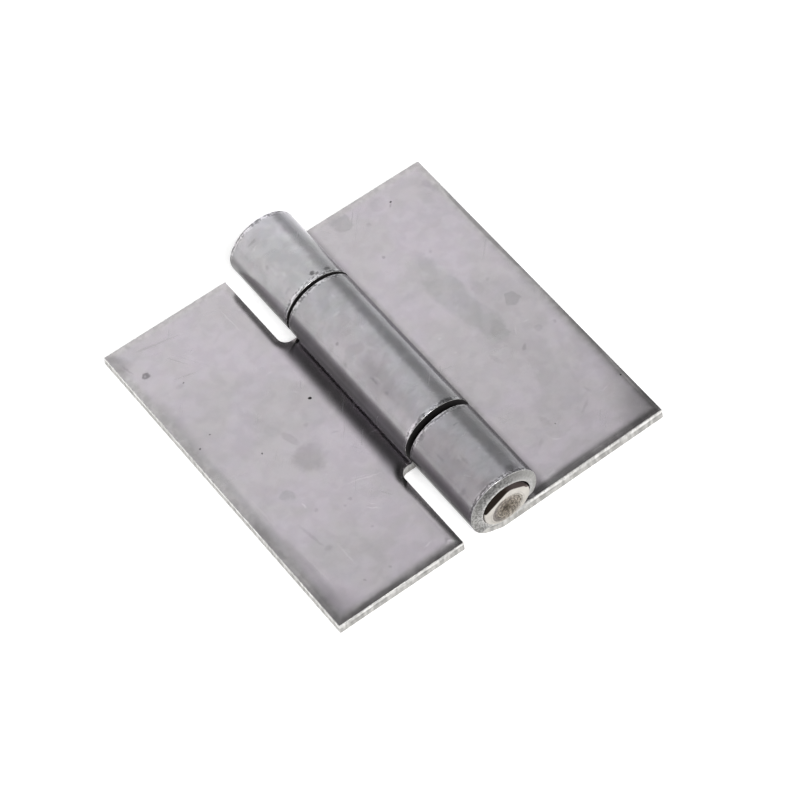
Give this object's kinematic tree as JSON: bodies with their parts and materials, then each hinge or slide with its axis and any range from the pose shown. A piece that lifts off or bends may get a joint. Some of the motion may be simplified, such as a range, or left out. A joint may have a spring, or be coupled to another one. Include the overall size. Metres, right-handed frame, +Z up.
{
  "type": "butt hinge",
  "caption": "Plain rolled-knuckle steel butt hinge with square undrilled leaves for welding, lying open and flat.",
  "frame": {"origin": "on the plane of the leaves' backs, under the middle of the pin", "axes": "+Y along the pin, +Z up out of the leaves' backs towards the barrel, +X towards the leaf with two knuckles"},
  "size_m": [0.06, 0.0616, 0.0121],
  "materials": {
    "leaf_steel": "mill finish, semi-gloss, faint stains and handling scratches",
    "pin_steel": "bright drawn bar, ends faced and rough in the middle"
  },
  "bodies": {
    "fixed_leaf": {"two_knuckle_leaf": "leaf_steel", "hinge_pin": "pin_steel"},
    "swinging_leaf": {"single_knuckle_leaf": "leaf_steel"}
  },
  "joints": [
    {"name": "leaf_swing", "type": "hinge", "parent": "fixed_leaf", "child": "swinging_leaf", "pos_m": [0, 0, 0.00605], "axis": [0, 1, 0], "range_deg": [-95, 195]}
  ]
}
